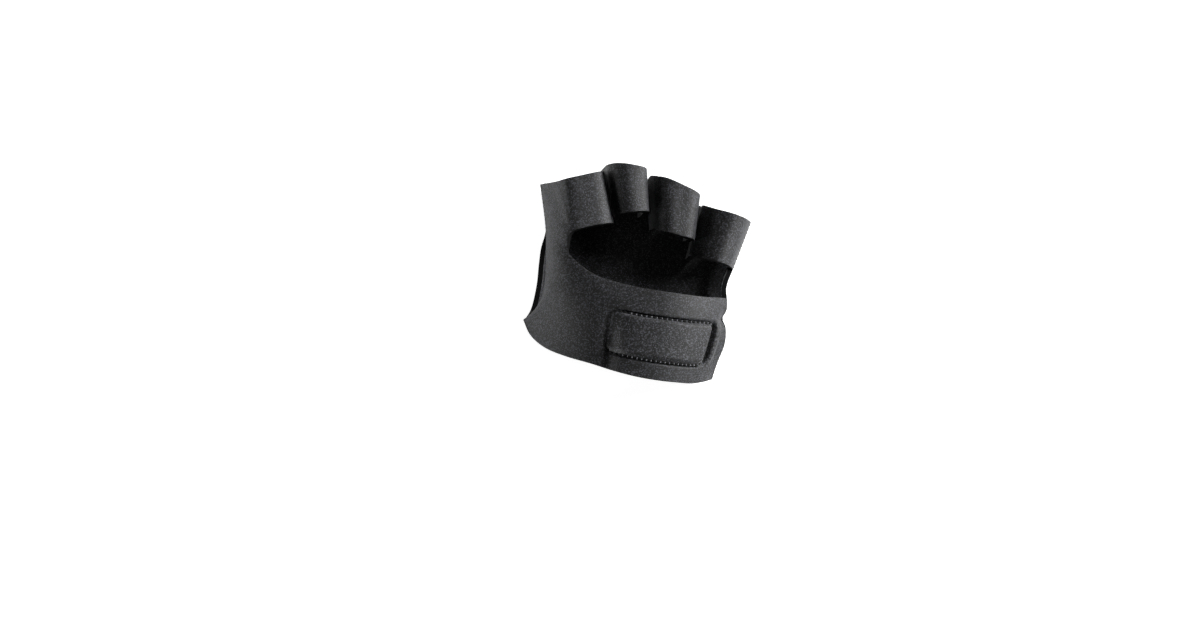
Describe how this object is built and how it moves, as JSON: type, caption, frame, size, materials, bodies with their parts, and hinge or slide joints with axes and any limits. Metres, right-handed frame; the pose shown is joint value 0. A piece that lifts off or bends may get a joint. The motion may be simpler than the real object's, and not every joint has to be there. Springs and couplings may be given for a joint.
{
  "type": "fingerless palm protector glove for pull-up bar work",
  "caption": "Fingerless foam rubber palm protector for a right hand: palm pad, finger loops, open knuckle window and a wide band across the back with a blank label.",
  "frame": {"origin": "on the surface that the palm pad lies on, under the middle of the glove's box", "axes": "+X to the little finger's side, +Y to the fingertips, +Z to the back of the hand"},
  "size_m": [0.108, 0.107, 0.0349],
  "materials": {
    "knit_faced_foam": "black knit face on foam rubber, fine grey speckle, grey foam at the cut edges",
    "pad_cloth": "black knit face on foam rubber, grey foam at the cut edges",
    "label_cloth": "black knit patch with black stitches, left bare"
  },
  "bodies": {
    "root": {"palm_pad": "pad_cloth", "back_panel": "knit_faced_foam", "middle_loop": "knit_faced_foam", "ring_loop": "knit_faced_foam", "little_loop": "knit_faced_foam", "label_patch": "label_cloth"}
  },
  "joints": []
}
